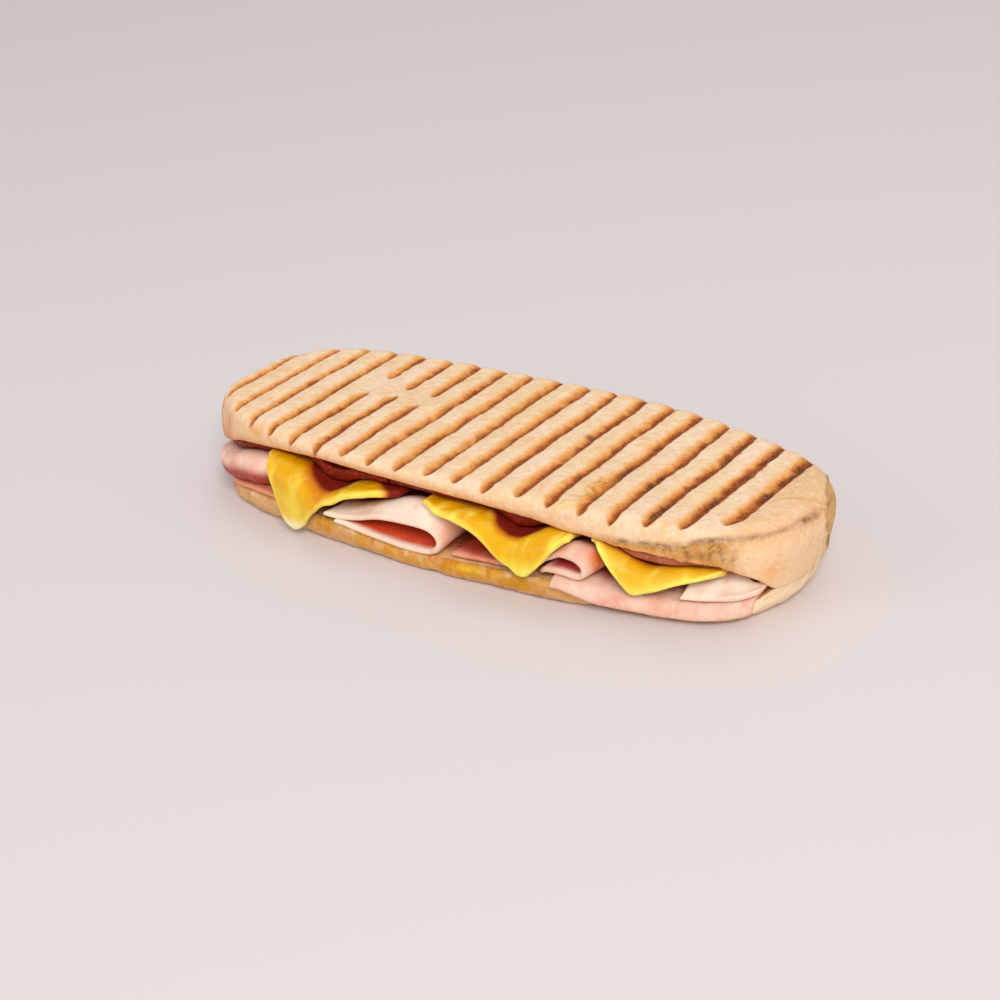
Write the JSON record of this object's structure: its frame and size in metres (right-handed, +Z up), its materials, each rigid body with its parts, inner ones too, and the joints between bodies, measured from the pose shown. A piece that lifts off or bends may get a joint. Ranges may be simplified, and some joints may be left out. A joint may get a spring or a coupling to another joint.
{
  "type": "panini",
  "caption": "Long pressed roll with grill marks, slit along the front and filled with folded ham and melted cheese slices that hang out.",
  "frame": {"origin": "middle of the underside, at the height of the surface that the panini lies on", "axes": "+X along the loaf to its closed right end, -Y to the open front where the filling shows, +Z up"},
  "size_m": [0.2442, 0.0954, 0.0336],
  "materials": {
    "crust": "dry toasted crust, pale and floured on the ridges, brown in the grill marks",
    "cheese": "soft melted cheese with a slight gloss",
    "ham": "moist cooked ham"
  },
  "bodies": {
    "root": {"bread": "crust", "cheese_left": "cheese", "cheese_middle": "cheese", "cheese_right": "cheese", "ham_fold_left": "ham", "ham_fold_middle": "ham", "ham_fold_right": "ham", "ham_low_left": "ham", "ham_low_middle": "ham", "ham_low_right": "ham", "ham_pale_right": "ham", "ham_top_end": "ham", "ham_top_left": "ham", "ham_top_middle": "ham", "ham_top_right": "ham"}
  },
  "joints": []
}
